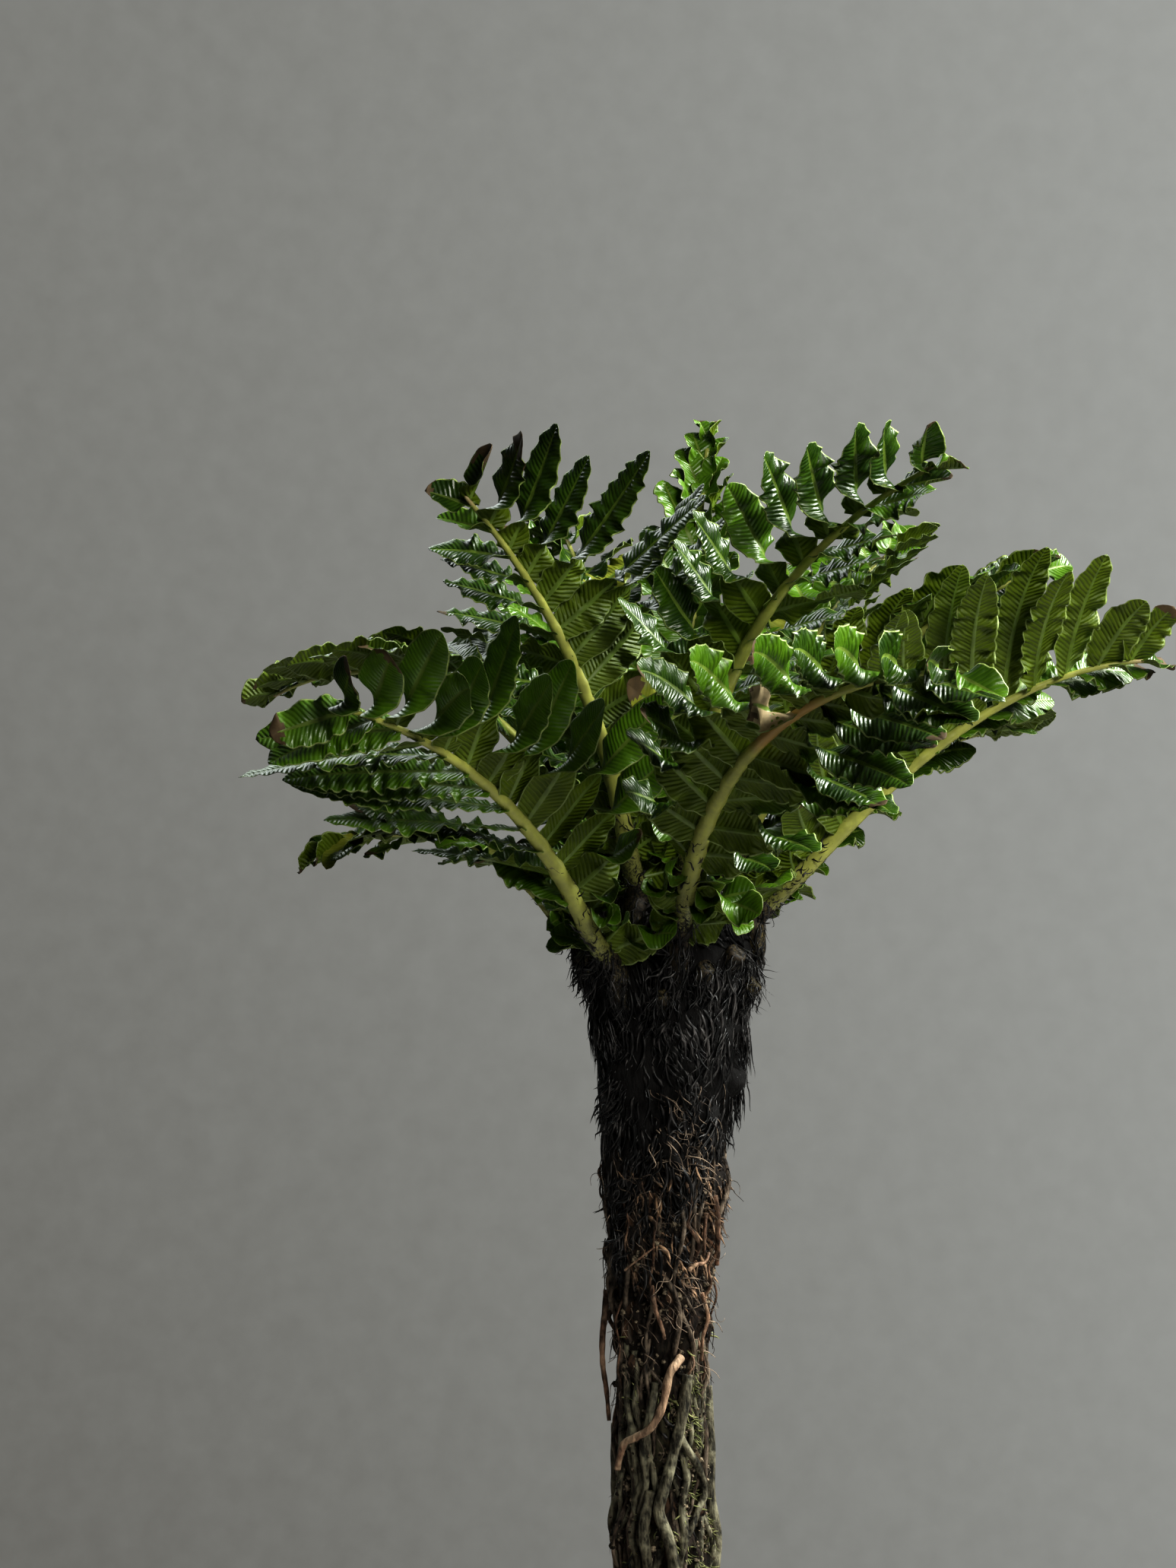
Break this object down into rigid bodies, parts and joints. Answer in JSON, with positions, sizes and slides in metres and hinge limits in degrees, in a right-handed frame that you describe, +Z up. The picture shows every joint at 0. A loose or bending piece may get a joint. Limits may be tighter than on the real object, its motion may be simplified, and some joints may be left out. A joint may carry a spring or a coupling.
{
  "type": "potted tree fern",
  "caption": "Young dwarf tree fern in a plain clay pot: slim root-wrapped trunk, dark scaly crown and arching fronds of crisped leaflets.",
  "frame": {"origin": "middle of the pot's flat underside, where the pot stands", "axes": "+Z up along the pot's axis; -Y towards the side the picture shows, +X to its right"},
  "size_m": [0.2485, 0.2718, 0.4221],
  "materials": {
    "clay": "matt unglazed fired clay",
    "soil": "loose damp potting mix",
    "bark": "matted roots below, near-black scales above",
    "root": "dry wiry aerial roots",
    "frond": "glossy deep green above, paler and duller below"
  },
  "bodies": {
    "root": {"pot": "clay", "soil": "soil", "trunk": "bark", "loose_root": "root", "standing_root": "root", "root_strand_1": "root", "root_strand_2": "root", "root_strand_3": "root", "root_strand_4": "root", "root_strand_5": "root", "frond_01": "frond", "frond_02": "frond", "frond_03": "frond", "frond_04": "frond", "frond_05": "frond", "frond_06": "frond", "frond_07": "frond", "frond_08": "frond", "frond_09": "frond", "frond_10": "frond", "frond_11": "frond", "frond_12": "frond", "frond_13": "frond", "frond_14": "frond", "frond_15": "frond"}
  },
  "joints": []
}
